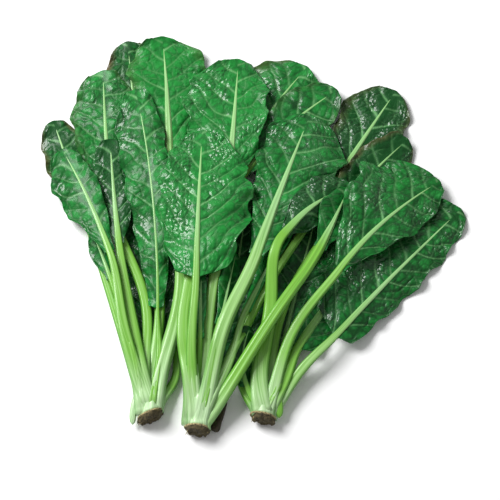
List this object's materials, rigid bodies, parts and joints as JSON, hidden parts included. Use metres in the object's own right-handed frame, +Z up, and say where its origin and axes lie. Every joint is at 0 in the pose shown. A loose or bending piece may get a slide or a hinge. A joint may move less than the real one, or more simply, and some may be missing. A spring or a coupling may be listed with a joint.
{
  "type": "leaf vegetable bunch",
  "caption": "Bunch of swiss chard: cut plants with pale ribbed stalks on short crowns, and broad waved dark green leaves fanned out over one another.",
  "frame": {"origin": "centre of the bunch's box, on the surface that it lies on", "axes": "+Z up from the surface, +Y from the cut crowns to the leaf tips, +X to the right as seen from the crowns"},
  "size_m": [0.4296, 0.431, 0.0463],
  "materials": {
    "leaf": "wet and puckered, semi gloss",
    "stalk": "moist, smooth, grooved lengthwise",
    "cut_end": "rough, matte",
    "dry_stalk": "dry, matte"
  },
  "bodies": {
    "root": {"dry_stalk": "dry_stalk", "left_back_blade": "leaf", "left_cut_end": "cut_end", "left_dark_blade": "leaf", "left_deep_blade": "leaf", "left_front_blade": "leaf", "left_inner_blade": "leaf", "left_long_blade": "leaf", "left_low_blade": "leaf", "left_middle_blade": "leaf", "left_small_blade": "leaf", "left_stalks": "stalk", "left_tall_blade": "leaf", "middle_back_blade": "leaf", "middle_curled_blade": "leaf", "middle_cut_end": "cut_end", "middle_deep_blade": "leaf", "middle_far_blade": "leaf", "middle_front_blade": "leaf", "middle_inner_blade": "leaf", "middle_right_blade": "leaf", "middle_second_blade": "leaf", "middle_stalks": "stalk", "middle_tall_blade": "leaf", "middle_under_blade": "leaf", "middle_wide_blade": "leaf", "middle_within_blade": "leaf", "right_bright_blade": "leaf", "right_cross_blade": "leaf", "right_cut_end": "cut_end", "right_dark_blade": "leaf", "right_deep_blade": "leaf", "right_inner_blade": "leaf", "right_lower_blade": "leaf", "right_outer_blade": "leaf", "right_short_blade": "leaf", "right_stalks": "stalk", "right_within_blade": "leaf"}
  },
  "joints": []
}
